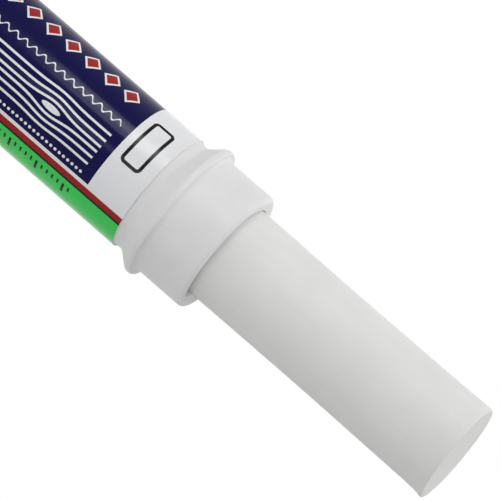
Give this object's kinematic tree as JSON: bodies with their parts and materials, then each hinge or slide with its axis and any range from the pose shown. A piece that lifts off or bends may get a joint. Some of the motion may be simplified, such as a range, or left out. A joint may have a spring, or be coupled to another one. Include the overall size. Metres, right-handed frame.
{
  "type": "furniture repair wax stick",
  "caption": "Twist-up wax filler stick for furniture: a cast wax cylinder in a labelled tube with a flanged collar, wound out by a knob at the base.",
  "frame": {"origin": "centre of the knob's base, which is the bottom centre of the bounding box with the wax wound out", "axes": "+Z along the stick from the knob to the wax's tip; the printed panel faces -Y; +X completes the right-handed frame"},
  "size_m": [0.0278, 0.0278, 0.168],
  "materials": {
    "tube_plastic": "semi-gloss moulded polypropylene",
    "label_film": "gloss printed film, navy panel with white end band, green back and red stripe",
    "collar_plastic": "satin moulded polypropylene",
    "wax": "matte cast wax",
    "carrier_plastic": "natural moulded polypropylene",
    "screw_plastic": "natural moulded acetal",
    "plug_plastic": "satin moulded polypropylene",
    "seal_rubber": "black rubber cord",
    "knob_plastic": "satin moulded polypropylene with grip flutes",
    "disc_plastic": "satin plastic in the wax's shade"
  },
  "bodies": {
    "barrel": {"barrel_tube": "tube_plastic", "label_wrap": "label_film", "front_collar": "collar_plastic", "rear_plug": "plug_plastic", "seal_ring": "seal_rubber"},
    "knob": {"twist_knob": "knob_plastic", "lead_screw": "screw_plastic", "shade_disc": "disc_plastic"},
    "stick": {"wax_stick": "wax", "carrier_cup": "carrier_plastic"}
  },
  "joints": [
    {"name": "knob_turn", "type": "hinge", "parent": "barrel", "child": "knob", "pos_m": [0, 0, 0.007], "axis": [0, 0, 1], "range_deg": [0, 3241]},
    {"name": "stick_rise", "type": "slide", "parent": "barrel", "child": "stick", "axis": [0, 0, 1], "range_m": [-0.054, 0]}
  ],
  "couplings": [
    {"joint": "knob_turn", "follows": "stick_rise", "rad_per_m": -1047.2}
  ]
}
